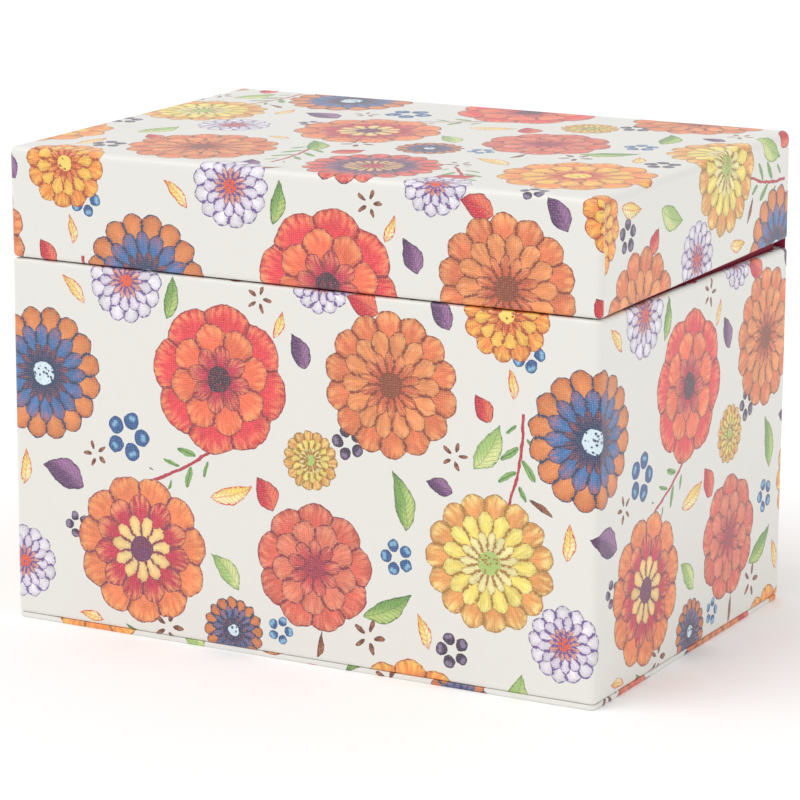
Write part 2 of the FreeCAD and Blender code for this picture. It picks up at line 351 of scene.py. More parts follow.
BloomKind = namedtuple("BloomKind", "outer middle inner heart ink wash petals")
bloomKinds = {       # three rings of petals, heart, outlines, second pigment, petals in a ring
    "dahlia": BloomKind("#E37648", "#EC8E54", "#D8633F", "#8A4326", "#8A3A20", "#F5B070", 14),
    "gazania": BloomKind("#E18A4F", "#4274AE", "#203E6C", "#D9EBF3", "#2A3A5E", "#C25E36", 16),
    "zinnia": BloomKind("#E25054", "#67407A", "#F5CB8C", "#CB3450", "#562A44", "#F59664", 18),
    "marigold": BloomKind("#F28C40", "#F9B84C", "#EB5A36", "#FAD868", "#AE4622", "#FCD362", 12),
    "sunflower": BloomKind("#E79C52", "#F7E06E", "#FBF0AC", "#B0C76C", "#A6752C", "#F7E894", 15),
    "poppy": BloomKind("#E23A44", "#F06C48", "#C42C4A", "#4A2A3C", "#92283A", "#F8A76A", 8),
    "aster": BloomKind("#F1EEF1", "#EBE4EF", "#EF8448", "#E05A38", "#6E4E93", "#DCCFE6", 13),
    "rose": BloomKind("#DC5E4C", "#E6765C", "#CA3E48", "#A8344A", "#86283C", "#F0A07C", 9),
    "plumeria": BloomKind("#EA7E4C", "#C62A48", "#F7D890", "#70345E", "#88304A", "#F8B26C", 11),
}
blooms = [           # x, y, radius, kind, turn
    (24, 22, 20, "dahlia", 0.1),
    (78, 16, 18, "zinnia", 0.3),
    (130, 26, 20, "marigold", 0.0),
    (50, 64, 20, "plumeria", 0.7),
    (102, 66, 17, "rose", 0.2),
    (152, 74, 18, "sunflower", 0.5),
    (20, 108, 18, "gazania", 0.4),
    (74, 112, 20, "poppy", 0.9),
    (124, 116, 19, "dahlia", 0.6),
    (46, 135, 11, "aster", 0.3),
    (156, 137, 12, "marigold", 0.1),
    (104, 141, 9, "aster", 0.5),
    (78, 46, 9, "gazania", 0.8),
    (13, 56, 10, "aster", 0.2),
    (101, 94, 8, "sunflower", 0.6),
]
bloomSettings = {
    "rings": (               # petals, reach as a share of the radius, scallop, turn in petals
        ("outer", 1.0, 0.10, 0.0),
        ("middle", 0.74, 0.12, 0.5),
        ("inner", 0.46, 0.12, 0.0),
    ),
    "streaks": (70, 0.2),    # in a full turn, and in a millimetre outwards
    "streakCloud": (1.4, 3.0),
    "streakTones": (0.88, 1.1),
    "petalTones": (0.93, 1.09),      # from one petal to the next
    "rim": (0.0, 1.9),
    "rimTones": (0.78, 1.05),
    "veins": 5,              # in a petal
    "vein": (0.0, 0.2),
    "veinTones": (0.94, 1.0),
    "wash": (0.0, 5.0, 0.75, 0.0),   # from the tip inwards, and its strength there
    "softInk": 2.2,          # an outline has faded out at this many widths
    "softEdge": 0.14,
    "heart": 0.18,           # share of the radius
    "softHeart": 0.15,
    "dots": 0.95,            # in a millimetre of the heart
    "dot": (0.22, 0.42),
}


def paintBlooms(canvas, spot, grainAndPaintedThreadLight, ink, settings):
    place, size, key, turn = nearest(spot, blooms, list(bloomKinds))
    distance, angle = polar(place, turn)
    petals = ramp(key, bloomKinds, "petals").math("ROUND")
    around = angle * petals
    inkColour = ramp(key, bloomKinds, "ink")
    washColour = ramp(key, bloomKinds, "wash")
    across, along = settings["streaks"]
    streak = cloud(join(angle * across, distance * along, size), *settings["streakCloud"])
    streakTone = ease(streak, *cloudRange, *settings["streakTones"])
    for ring, edge, scallop, phase in settings["rings"]:
        shifted = around + phase
        wave = fromWhole(shifted) * 2        # 0 in the middle of a petal, 1 between two
        number = (shifted + 0.5).math("FLOOR").math("FLOORED_MODULO", petals)
        petal = join(number, key, edge)
        chance = petal.add("TexWhiteNoise", {}, {"Vector": petal})
        tip = (edge - wave * wave * scallop) * size - distance
        side = (1 - wave) * distance * math.pi / petals
        rim = tip.math("MINIMUM", side)
        vein = fromWhole(shifted * settings["veins"])
        tone = ease(rim, *settings["rim"], *settings["rimTones"])
        tone = tone * ease(vein, *settings["vein"], *settings["veinTones"])
        tone = tone * between(chance, *settings["petalTones"]) * streakTone
        wash = ease(tip, *settings["wash"]) * ease(streak, *patchRange)
        colour = mixColour(wash, ramp(key, bloomKinds, ring), washColour)
        colour = scaled(colour, tone * grainAndPaintedThreadLight)
        colour = mixColour(ease(rim, ink, ink * settings["softInk"]), inkColour, colour)
        canvas = mixColour(ease(tip, 0.0, settings["softEdge"]), canvas, colour)
    dots = spot.add("TexVoronoi", {"feature": "F1"}, {"Vector": spot, "Scale": settings["dots"]})
    colour = mixColour(ease(dots, *settings["dot"]), inkColour, ramp(key, bloomKinds, "heart"))
    heart = ease(settings["heart"] * size - distance, 0.0, settings["softHeart"])
    return mixColour(heart, canvas, scaled(colour, grainAndPaintedThreadLight))


LeafKind = namedtuple("LeafKind", "colour vein wash width")
leafKinds = {        # colour, veins and outline, second pigment, width to length
    "leaf": LeafKind("#7BA553", "#466F36", "#B9CE78", 0.36),
    "pale": LeafKind("#A8C574", "#648F4C", "#DCE29A", 0.46),
    "petal": LeafKind("#F5DC74", "#D8442F", "#FBEFB4", 0.34),
    "bud": LeafKind("#D0283A", "#86202F", "#EE7458", 0.66),
    "plum": LeafKind("#653A6C", "#381F40", "#9A6A98", 0.56),
    "pod": LeafKind("#8F4A2B", "#5A2C1B", "#C27C4C", 0.22),
}
leaves = [           # x, y, half length, kind, turn in degrees
    (50, 37, 8, "leaf", 60),
    (62, 32, 5, "bud", 130),
    (102, 36, 7, "petal", 25),
    (104, 46, 4, "pod", 100),
    (124, 58, 8, "leaf", 150),
    (134, 54, 5, "petal", 70),
    (0, 40, 7, "pale", 110),
    (4, 30, 4, "bud", 40),
    (26, 82, 7, "plum", 20),
    (14, 82, 5, "petal", 95),
    (6, 90, 4, "pod", 30),
    (78, 82, 7, "petal", 160),
    (88, 84, 5, "bud", 60),
    (128, 87, 8, "leaf", 75),
    (138, 92, 4, "plum", 15),
    (152, 103, 7, "pale", 120),
    (150, 113, 4, "bud", 60),
    (30, 132, 5, "petal", 45),
    (60, 132, 6, "leaf", 100),
    (48, 6, 5, "plum", 70),
    (56, 2, 4, "pod", 150),
    (92, 128, 4, "petal", 110),
    (116, 136, 5, "bud", 20),
    (138, 136, 5, "plum", 55),
    (158, 120, 4, "petal", 80),
    (104, 10, 6, "bud", 140),
    (154, 16, 6, "petal", 100),
    (76, 62, 6, "pale", 45),
    (34, 44, 4, "petal", 10),
    (98, 122, 5, "plum", 65),
]
leafSettings = {
    "bend": 0.022,           # the middle vein bows by this times the square of the way along it
    "taper": 0.35,           # how much fuller one end is
    "leastTaper": 0.2,
    "veinScale": 0.9,
    "veinSpacing": 0.6,      # at that scale, half the way from a side vein to the next
    "sideVein": (0.04, 0.2),
    "middleVein": (0.08, 0.26),
    "underVein": 0.5,        # share of the leaf's colour that shows through a vein
    "washSlant": 0.5,
    "wash": (-0.6, 0.9),     # where the second pigment starts and is full, in half lengths
    "rim": (0.0, 1.4),
    "rimTones": (0.84, 1.04),
    "softInk": 2,
    "softEdge": 0.13,
}


def paintLeaves(canvas, spot, grainAndPaintedThreadLight, ink, settings):
    place, size, key, turn = nearest(spot, leaves, list(leafKinds))
    veinColour = ramp(key, leafKinds, "vein")
    x, y = turned(place, turn)
    run = x / size
    bend = y + x * x * settings["bend"]
    side = bend.math("ABSOLUTE")
    taper = (1 + run * settings["taper"]).math("MAXIMUM", settings["leastTaper"])
    rim = ramp(key, leafKinds, "width") * size * (1 - run * run) * taper - side
    veins = ((x + side) * settings["veinScale"]).math("PINGPONG", settings["veinSpacing"])
    clear = ease(veins, *settings["sideVein"]) * ease(side, *settings["middleVein"])
    wash = ease(bend * settings["washSlant"] + run, *settings["wash"])
    colour = mixColour(wash, ramp(key, leafKinds, "colour"), ramp(key, leafKinds, "wash"))
    colour = scaled(colour, ease(rim, *settings["rim"], *settings["rimTones"]) * grainAndPaintedThreadLight)
    colour = mixColour(between(clear, settings["underVein"], 1.0), veinColour, colour)
    colour = mixColour(ease(rim, ink, ink * settings["softInk"]), veinColour, colour)
    return mixColour(ease(rim, 0.0, settings["softEdge"]), canvas, colour)


BerryKind = namedtuple("BerryKind", "colour shine stretch")
berryKinds = {       # colour, light spot, stretch along the ray
    "blue": BerryKind("#2B5891", "#86BCDD", 1.0),
    "plum": BerryKind("#3D2B49", "#8D7A99", 1.0),
    "seed": BerryKind("#713821", "#A86A48", 0.42),
}
berries = [          # x, y, radius of the cluster, kind, turn
    (46, 94, 7, "blue", 0.2),
    (118, 50, 5, "seed", 0.6),
    (126, 72, 5, "blue", 0.1),
    (142, 50, 5, "plum", 0.9),
    (36, 88, 4, "seed", 0.3),
    (0, 14, 5, "plum", 0.5),
    (96, 28, 4, "seed", 0.4),
    (112, 100, 5, "plum", 0.7),
    (2, 128, 5, "blue", 0.4),
    (58, 44, 5, "seed", 0.8),
    (86, 134, 4, "seed", 0.0),
    (142, 100, 4, "seed", 0.2),
    (92, 48, 4, "blue", 0.6),
    (30, 68, 4, "plum", 0.1),
    (130, 2, 4, "plum", 0.3),
]
berrySettings = {
    "count": 5,              # in a cluster
    "out": 0.62,             # a berry's middle, as a share of the cluster's radius
    "radius": 0.34,
    "shineSpot": (0.4, 0.5),     # from a berry's middle, sideways and outwards
    "shine": (0.1, 1.0),
    "rimTones": (0.6, 1.0),
    "softInk": 2,
    "softEdge": 0.15,
}


def paintBerries(canvas, spot, grainAndPaintedThreadLight, ink, settings):
    place, size, key, turn = nearest(spot, berries, list(berryKinds))
    distance, angle = polar(place, turn)
    count = settings["count"]
    ray = fromWhole(angle * count) / count * (2 * math.pi)       # angle from the nearest berry
    across = distance * ray.math("SINE") / ramp(key, berryKinds, "stretch")
    along = distance * ray.math("COSINE") - size * settings["out"]
    rim = settings["radius"] * size - lengthOf(join(across, along))
    sideways, outwards = settings["shineSpot"]
    shine = lengthOf(join(across - sideways, along - outwards))
    colour = ramp(key, berryKinds, "colour")
    colour = mixColour(ease(shine, *settings["shine"]), ramp(key, berryKinds, "shine"), colour)
    colour = scaled(colour, ease(rim, 0.0, ink * settings["softInk"], *settings["rimTones"]) * grainAndPaintedThreadLight)
    return mixColour(ease(rim, 0.0, settings["softEdge"]), canvas, colour)


sprigs = [           # x, y, half length, kind, turn in degrees
    (52, 24, 15, "red", 82),
    (104, 14, 12, "red", 60),
    (64, 88, 11, "red", 150),
    (160, 100, 13, "red", 100),
]
sprigSettings = {
    "stem": "#B5303F",
    "vein": "#4F7C42",
    "leaf": "#86B062",
    "bend": 0.008,           # the stem bows by this times the square of the way along it
    "halfStem": 0.5,
    "softStem": 0.15,
    "spacing": 3.2,          # half the way from a leaf to the next on its side
    "stagger": 1.6,          # leaves of the two sides stand off this far each way
    "slant": 0.9,
    "out": 2.9,              # from the stem to the middle of a leaf
    "leafSize": (1.35, 2.5),     # half width and half length
    "grown": (-1.0, 12.0, 0.2, 1.0),     # from the sprig's ends inwards, and the size there
    "leafVein": (0.1, 0.3),
    "rimTones": (0.72, 1.0),
    "rimScale": 1.4,         # about a leaf's half width, to turn shares into millimetres
    "softInk": 2,
    "softEdge": 0.13,
}


def paintSprigs(canvas, spot, grainAndPaintedThreadLight, ink, settings):
    place, size, _, turn = nearest(spot, sprigs, ["red"])
    x, y = turned(place, turn)
    bend = y + x * x * settings["bend"]
    side = bend.math("ABSOLUTE")
    inside = size - x.math("ABSOLUTE")
    stem = (settings["halfStem"] - side).math("MINIMUM", inside)
    along = x - side * settings["slant"] + bend.math("SIGN") * settings["stagger"]
    across = along.math("PINGPONG", settings["spacing"])
    grown = ease(inside, *settings["grown"])
    wide, long = settings["leafSize"]
    leaf = join(across / wide, (side - settings["out"]) / long)
    rim = ((1 - lengthOf(leaf) / grown) * settings["rimScale"]).math("MINIMUM", inside)
    clear = ease(across, *settings["leafVein"])
    colour = mixColour(clear, tint(settings["vein"]), tint(settings["leaf"]))
    colour = scaled(colour, ease(rim, ink, ink * settings["softInk"], *settings["rimTones"]) * grainAndPaintedThreadLight)
    canvas = mixColour(ease(rim, 0.0, settings["softEdge"]), canvas, colour)
    return mixColour(ease(stem, 0.0, settings["softStem"]), canvas, tint(settings["stem"]))


def makePrintedPaper(settings):
    material, shader, start = startMaterial("printedPaper", settings)
    shader.inputs["Coat Weight"].default_value = settings["varnish"]
    shader.inputs["Coat Roughness"].default_value = settings["varnishRough"]
    sheet = scaled(start.add("UVMap", {"uv_map": "sheet"}), 1 / mm)
    sway = cloud(sheet, *settings["wobbleCloud"], output="Color").vector("SUBTRACT", (0.5, 0.5, 0.5))
    spot = sheet.vector("ADD", scaled(sway, 2 * settings["wobble"]))
    # pigment settles unevenly, in blots and in the paper's tooth, and the ink line breaks; on the threads
    # the ink gets painted sheen on the crowns and painted shade in the grooves
    blots = cloud(sheet, *settings["blotCloud"])
    tooth = cloud(sheet, *settings["toothCloud"])
    crossing = math.pi / settings["threads"]
    across, along = ((part * crossing).math("SINE").math("ABSOLUTE") for part in split(sheet))
    weave = across * along
    grainAndPaintedThreadLight = ease(blots, *cloudRange, *settings["blotTones"])
    grainAndPaintedThreadLight = grainAndPaintedThreadLight * ease(tooth, *cloudRange, *settings["toothTones"])
    # painted light and shade of the threads: lighter on the crowns, darker in the grooves
    grainAndPaintedThreadLight = grainAndPaintedThreadLight * between(weave, *settings["threadSheenAndShadeTones"])
    widths = [share * settings["ink"] for share in settings["inkWidths"]]
    ink = ease(cloud(sheet, *settings["inkCloud"]), *patchRange, *widths)
    ivory = tint(settings["ivory"])
    canvas = paintSprigs(ivory, spot, grainAndPaintedThreadLight, ink, sprigSettings)
    canvas = paintBerries(canvas, spot, grainAndPaintedThreadLight, ink, berrySettings)
    canvas = paintLeaves(canvas, spot, grainAndPaintedThreadLight, ink, leafSettings)
    canvas = paintBlooms(canvas, spot, grainAndPaintedThreadLight, ink, bloomSettings)
    # painted sheen: the crowns of the threads are paled towards ivory, in patches
    sheenPatches = ease(cloud(sheet, *settings["bareCloud"]), *settings["bareRange"], *settings["bare"])
    canvas = mixColour(ease(weave, *settings["crowns"]) * sheenPatches, canvas, ivory)
    plug(scaled(canvas, ease(tooth, *cloudRange, *settings["ivoryTones"])), shader, "Base Color")
    plugRoughness(shader, blots, settings)
    addBump(shader, weave + tooth * settings["toothHeight"], settings)
    return material


printedPaper = makePrintedPaper(printSettings)
print("printed paper made:", len(printedPaper.node_tree.nodes), "nodes")


# the other finishes: fibres are counted to the metre

fibreSettings = {            # shared by the plain papers and boards
    "stretch": (1.0, 3.1, 1.7),
    "fibreCloud": (1.0, 4.0, 0.7),
    "mottleCloud": (90.0, 3.0),
    "mottle": 0.4,           # share of the mottling, where the fibres have the rest
    "darkRange": (0.38, 0.62),
    "uneven": 0.06,
    "specular": 0.3,
    "strength": 0.7,
}
liningSettings = {
    "colour": "#A02040",
    "dark": "#8E1A36",
    "rough": 0.62,
    "fibres": 900.0,
    "bump": 0.03 * mm,
}
edgeSettings = {
    "colour": "#F4F1EA",
    "dark": "#E2DCCF",
    "rough": 0.8,
    "fibres": 1500.0,
    "bump": 0.01 * mm,
}
boardSettings = {
    "colour": "#8E8678",
    "dark": "#6F685C",
    "rough": 0.9,
    "fibres": 500.0,
    "bump": 0.12 * mm,
}
tapeSettings = {
    "colour": "#B48A5A",
    "dark": "#96703F",
    "rough": 0.75,
    "fibres": 700.0,
    "bump": 0.04 * mm,
}
backSettings = {             # the hinge strips' pasted sides
    "colour": "#B42A50",
    "dark": "#9C2244",
    "rough": 0.8,
    "fibres": 900.0,
    "bump": 0.03 * mm,
}


def makePaper(name, ownSettings):
    # plain paper or board: fibres, mottling and a soft tooth
    settings = {**fibreSettings, **ownSettings}
    material, shader, start = startMaterial(name, settings)
    place = start.add("TexCoord", output="Object")
    stretched = place.vector("MULTIPLY", tuple(settings["fibres"] * part for part in settings["stretch"]))
    fibres = cloud(stretched, *settings["fibreCloud"])
    mottle = cloud(place, *settings["mottleCloud"])
    blend = fibres * (1 - settings["mottle"]) + mottle * settings["mottle"]
    mask = ease(blend, *settings["darkRange"])
    plug(mixColour(mask, tint(settings["dark"]), tint(settings["colour"])), shader, "Base Color")
    plugRoughness(shader, fibres, settings)
    addBump(shader, fibres, settings)
    return material


liningPaper = makePaper("liningPaper", liningSettings)
paperEdge = makePaper("paperEdge", edgeSettings)
greyboard = makePaper("greyboard", boardSettings)
stayTape = makePaper("stayTape", tapeSettings)
pastedBack = makePaper("pastedBack", backSettings)
print("plain papers and boards made")


# paper covers, lofted round the box

coverSettings = {
    "span": 6 * mm,          # length of the facets along a wall
    "support": 0.4 * mm,     # close edge that keeps a flat shaded flat
    "supportShare": 0.4,     # the close edge is kept within this share of a facet
    "cornerSteps": 7,
    "edgeSteps": 6,
    "paper": 0.19 * mm,
    "lap": 0.10 * mm,        # step where one sheet lies over another
    "fade": 1.2 * mm,        # the unevenness ends this far in from the walls
    "waver": 0.04 * mm,      # unevenness of the board under the paper
    "swells": 28,            # of that unevenness, in a metre
    "edge": 0.05 * mm,       # width of a cut paper edge along the wall
    "weld": 0.0005 * mm,     # points closer than this are joined
    "sharp": 40,             # degrees between two faces, from which their edge is hard
}
rearSide = 2                 # sides are 0 to 3 from the front, and the corner after each adds a half
shownFace, cutEdge, pastedFace = range(3)        # the order of a cover's finishes
Station = namedtuple("Station", "before after share facing side travel")


def evenShares(length):
    # even shares of a straight run, with one more close to each end
    count = max(2, round(length / coverSettings["span"]))
    near = min(coverSettings["support"] / length, coverSettings["supportShare"] / count)
    return [0.0, near, *(number / count for number in range(1, count)), 1 - near, 1.0]


def otherEnd(station, around, lapAt):
    # past the lap the sheet is its own other end
    past = station.side > rearSide or (station.side == rearSide and station.share > lapAt)
    return station._replace(travel=station.travel - around * past)


def makeStations(halfX, halfY, radius, lapAt=None):
    # points round the outline from the front left
    corners = [(-1, -1), (1, -1), (1, 1), (-1, 1)]
    steps = coverSettings["cornerSteps"]
    cut = coverSettings["edge"] / max(radius * math.pi / 2, coverSettings["support"])
    bends = [cut, *(number / steps for number in range(1, steps)), 1 - cut]
    stations = []
    travel = 0.0
    for side in range(4):
        length = 2 * ((halfX if side % 2 == 0 else halfY) - radius)
        facing = math.radians(90 * side - 90)
        shares = evenShares(length)
        if side == rearSide and lapAt:
            shares = sorted([*shares, lapAt, lapAt + coverSettings["edge"] / length])
        here, there = corners[side], corners[(side + 1) % 4]
        for share in shares:
            stations.append(Station(here, there, share, facing, side, travel + share * length))
        travel += length
        for bend in bends:
            along = travel + bend * radius * math.pi / 2
            stations.append(Station(there, there, bend, facing + bend * math.pi / 2, side + 0.5, along))
        travel += radius * math.pi / 2
    if lapAt:
        stations = [otherEnd(station, travel, lapAt) for station in stations]
    return stations


def stationPoint(station, halfX, halfY, radius, inset):
    bend = max(radius - inset, 0.0)
    x = station.before[0] * (1 - station.share) + station.after[0] * station.share
    y = station.before[1] * (1 - station.share) + station.after[1] * station.share
    return (
        x * (halfX - inset - bend) + bend * math.cos(station.facing),
        y * (halfY - inset - bend) + bend * math.sin(station.facing),
    )


def arc(centreInset, centreHeight, radius, start, end):
    # points of a turn in the plane of inset and height, between two angles in degrees
    steps = coverSettings["edgeSteps"]
    points = []
    for number in range(steps + 1):
        turn = math.radians(start + (end - start) * number / steps)
        points.append((centreInset + radius * math.cos(turn), centreHeight + radius * math.sin(turn)))
    return points


def straight(start, end):
    # the points between two ends, without the ends
    inset, height = start
    shares = evenShares(math.dist(start, end))[1:-1]
    return [(inset + (end[0] - inset) * share, height + (end[1] - height) * share) for share in shares]


def developed(profile):
    # distance along the profile from its first point
    lengths = [0.0]
    for before, after in zip(profile, profile[1:]):
        lengths.append(lengths[-1] + math.dist(before, after))
    return lengths


def thicken(profile, thickness):
    # goes back along the inner face, so that the sheet is closed
    back = []
    for number, (inset, height) in enumerate(profile):
        before = profile[max(number - 1, 0)]
        after = profile[min(number + 1, len(profile) - 1)]
        run = Vector((after[0] - before[0], after[1] - before[1])).normalized()
        back.append((inset + run.y * thickness, height - run.x * thickness))
    return profile + back[::-1]


def finishMesh(name, bm, materials, place=None):
    bmesh.ops.remove_doubles(bm, verts=bm.verts, dist=coverSettings["weld"])
    bmesh.ops.recalc_face_normals(bm, faces=bm.faces)
    if place:
        bm.transform(place)
    mesh = bpy.data.meshes.new(name)
    bm.to_mesh(mesh)
    bm.free()
    for polygon in mesh.polygons:
        polygon.use_smooth = True
    mesh.set_sharp_from_angle(angle=math.radians(coverSettings["sharp"]))
    for material in materials:
        mesh.materials.append(material)
    piece = bpy.data.objects.new(name, mesh)
    scene.collection.objects.link(piece)
    return piece


def waver(*spot):
    # how far the board under the paper dips here
    swell = noise.noise(Vector(spot) * coverSettings["swells"])
    return coverSettings["waver"] * (0.5 + 0.5 * swell)


def noSink(station):
    return 0.0


def fadeIn(share, fade):
    # 0 at both ends of a side, and 1 from a share of it inwards
    near = min(1.0, min(share, 1 - share) / fade)
    return near * near * (3 - 2 * near)


def loft(name, size, profile, mapSheet, materials, sink=noSink, lapAt=None, place=None):
    # sweeps a closed profile of insets and heights round an outline;
    # the size is the outline's half width, half depth and corner radius
    stations = makeStations(*size, lapAt)
    lengths = developed(profile)
    bm = bmesh.new()
    sheet = bm.loops.layers.uv.new("sheet")
    rows = []
    for inset, height in profile:
        outside = max(0.0, 1 - inset / coverSettings["fade"])
        row = []
        for station in stations:
            dip = (sink(station) + waver(*stationPoint(station, *size, inset), height)) * outside
            row.append(bm.verts.new((*stationPoint(station, *size, inset + dip), height)))
        rows.append(row)
    ridged = profile[0][0] >= size[1]        # both ends meet themselves at a ridge
    for number in range(len(rows) - ridged):
        following = (number + 1) % len(rows)
        for column, station in enumerate(stations):
            beside = (column + 1) % len(stations)
            corners = [(number, column), (number, beside), (following, beside), (following, column)]
            face = bm.faces.new([rows[row][spot] for row, spot in corners])
            # where the sheet drops more steeply than half a right angle, its cut edge shows
            ends = [stationPoint(end, *size, 0.0) for end in (station, stations[beside])]
            drop = abs(sink(station) - sink(stations[beside]))
            face.material_index = cutEdge if drop > math.dist(*ends) else shownFace
            for loop, (row, spot) in zip(face.loops, corners):
                loop[sheet].uv = mapSheet(profile[row][0], lengths[row], stations[spot], station, size)
    return finishMesh(name, bm, materials, place)


def mapBand(inset, length, station, owner, size):
    # one strip round the walls
    return station.travel, length


def sheetOf(station):
    # the front and rear flaps of a lid's sheet go round the corners, under the side flaps
    if station.side % 1 == 0:
        return station.side
    return 0 if station.side in (0.5, 3.5) else rearSide


def mapCross(inset, length, station, owner, size):
    # a flat middle with a flap folded down at each side
    halfX, halfY, radius = size
    side = sheetOf(owner)
    bend = max(radius - inset, 0.0)
    reach = (halfX if side % 2 == 0 else halfY) - inset - bend
    quarter = bend * math.pi / 2
    ahead = (station.side - side) % 4
    if ahead == 0:
        along = (2 * station.share - 1) * reach
    elif ahead <= 1:
        along = reach + quarter * (station.share if ahead == 0.5 else 1)
    else:
        along = -reach - quarter * (1 - station.share if ahead == 3.5 else 1)
    out = length + (halfX - halfY if side % 2 else 0.0)
    turn = side * math.pi / 2
    return along * math.cos(turn) + out * math.sin(turn), along * math.sin(turn) - out * math.cos(turn)


def shiftSheet(mapSheet, shift):
    # the same print, cut from another part of the paper
    def shifted(*facts):
        u, v = mapSheet(*facts)
        return u + shift[0] * mm, v + shift[1] * mm
    return shifted


wrapSettings = {             # shared by tray and lid
    "corner": 1.6 * mm,      # radius of the upright corners
    "rim": 1.2 * mm,         # radius of the rim's outside edge
    "inner": 0.45 * mm,      # radius of its inside edge
    "wall": 2.4 * mm,        # outside face to turned-in paper
    "turnIn": 14.0 * mm,
}


def rimProfile(settings, rim, inward):
    # over a rim at the height given and a way down the inside; inward is -1 for a rim that faces up
    wall, inner = settings["wall"], settings["inner"]
    edge = arc(settings["rim"], rim + inward * settings["rim"], settings["rim"], 180, 180 + inward * 90)
    inside = arc(wall - inner, rim + inward * inner, inner, 180 + inward * 90, 180 + inward * 180)
    end = (wall, rim + inward * settings["turnIn"])
    return [*edge, *inside, *straight(inside[-1], end), end]


# tray cover: one strip round the walls, lapped at the rear

traySettings = {
    **wrapSettings,
    "foot": 1.0 * mm,        # radius of the lower edge
    "turnUnder": 12.0 * mm,
    "rearSink": 0.12 * mm,   # the hinge paper lies over the rear
    "rearFade": 0.05,        # share of the rear wall over which it goes in
    "lapAt": 0.93,           # share of the rear wall where one end lies on the other
    "shift": (12.0, 30.0),   # where the print falls, in millimetres
}


def traySink(station):
    # at the rear the sheet makes room for the hinge paper, and less where one end lies on the other
    if station.side != rearSide:
        return 0.0
    lapped = coverSettings["lap"] if station.share > traySettings["lapAt"] else 0.0
    return max(traySettings["rearSink"] - lapped, 0.0) * fadeIn(station.share, traySettings["rearFade"])


def makeTrayCover(settings):
    low, high = trayLow.z, trayHigh.z
    under = (settings["turnUnder"], low)
    foot = arc(settings["foot"], low + settings["foot"], settings["foot"], 270, 180)
    rim = rimProfile(settings, high, -1)
    profile = [under, *straight(under, foot[0]), *foot, *straight(foot[-1], rim[0]), *rim]
    profile = thicken(profile, coverSettings["paper"])
    size = (halfWidth, halfDepth, settings["corner"])
    mapSheet = shiftSheet(mapBand, settings["shift"])
    finishes = [printedPaper, paperEdge]
    piece = loft("trayCover", size, profile, mapSheet, finishes, traySink, settings["lapAt"])
    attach(piece, "base")
    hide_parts("base_wrap")


makeTrayCover(traySettings)
print("tray covered")


# lid cover: a cross of paper, its side flaps lapped over the front and rear ones at the corners

lidSettings = {
    **wrapSettings,
    "top": 2.2 * mm,         # radius of the top's edge
    "lapFade": 0.12,         # share of the side over which the upper flap comes down to the board
    "shift": (64.0, 58.0),
}


def lidSink(station):
    # the side flaps lie over the front and rear ones at their ends, and on the board between
    if sheetOf(station) % 2 == 0:
        return coverSettings["lap"]
    return coverSettings["lap"] * fadeIn(station.share, lidSettings["lapFade"])


def lidLean():
    # the upper side of the lid's top board shows how far the closed lid leans forward
    faces = bpy.data.objects["lid_top_board"].data.polygons
    upper = max(faces, key=lambda face: face.area * face.normal.z)
    return math.atan2(-upper.normal.y, upper.normal.z)


def lidPlace():
    # the closed lid's front rim rests on the tray's, and its rear one is a little higher
    lean = lidLean()
    rimReach = halfDepth - lidSettings["rim"]
    topReach = halfDepth - lidSettings["top"]
    height = (lidHigh.z - lidLow.z - (rimReach + topReach) * math.sin(lean)) / math.cos(lean)
    middle = Vector((0, -halfDepth * (1 - math.cos(lean)), lidLow.z + rimReach * math.sin(lean)))
    return Matrix.Translation(middle) @ Matrix.Rotation(lean, 4, "X"), height


def makeLidCover(settings):
    place, height = lidPlace()
    edge = arc(settings["top"], height - settings["top"], settings["top"], 90, 180)
    rim = rimProfile(settings, 0.0, 1)
    ridge = (halfDepth, height)
    near = (settings["top"] + coverSettings["support"], height)
    profile = [ridge, near, *edge, *straight(edge[-1], rim[0]), *rim]
    profile = thicken(profile, -coverSettings["paper"])
    size = (halfWidth, halfDepth, settings["corner"])
    mapSheet = shiftSheet(mapCross, settings["shift"])
    piece = loft("lidCover", size, profile, mapSheet, [printedPaper, paperEdge], lidSink, place=place)
    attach(piece, "lid")
    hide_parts("lid_wrap")


makeLidCover(lidSettings)
print("lid covered")


# foot plate cover: wrapped up round the plate's edges

plateSettings = {
    "corner": wrapSettings["corner"],
    "edge": 0.35 * mm,       # radius of both its edges
    "over": 8.0 * mm,        # turned in on top of the plate
    "shift": (30.0, 101.0),
}


def makePlateCover(settings):
    low, high = plateLow.z, plateHigh.z
    edge = settings["edge"]
    ridge = (plateHigh.y, low)
    lower = arc(edge, low + edge, edge, 270, 180)
    upper = arc(edge, high - edge, edge, 180, 90)
    over = (settings["over"], high)
    profile = [ridge, (edge + coverSettings["support"], low), *lower, *upper, over]
    profile = thicken(profile, coverSettings["paper"])
    size = (plateHigh.x, plateHigh.y, settings["corner"])
    mapSheet = shiftSheet(mapCross, settings["shift"])
    piece = loft("plateCover", size, profile, mapSheet, [printedPaper, paperEdge])
    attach(piece, "base")
    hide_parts("base_plate_wrap")


makePlateCover(plateSettings)
print("foot plate covered")


# collar cover: lining paper down both faces of the collar and over its top edge

collarSettings = {
    "corner": 0.7 * mm,
    "top": 0.6 * mm,         # radius of the top edge, outside and inside
    "wall": 1.9 * mm,        # from the outer face to the inner one
    "outside": 25.0 * mm,    # how far it comes down outside
}


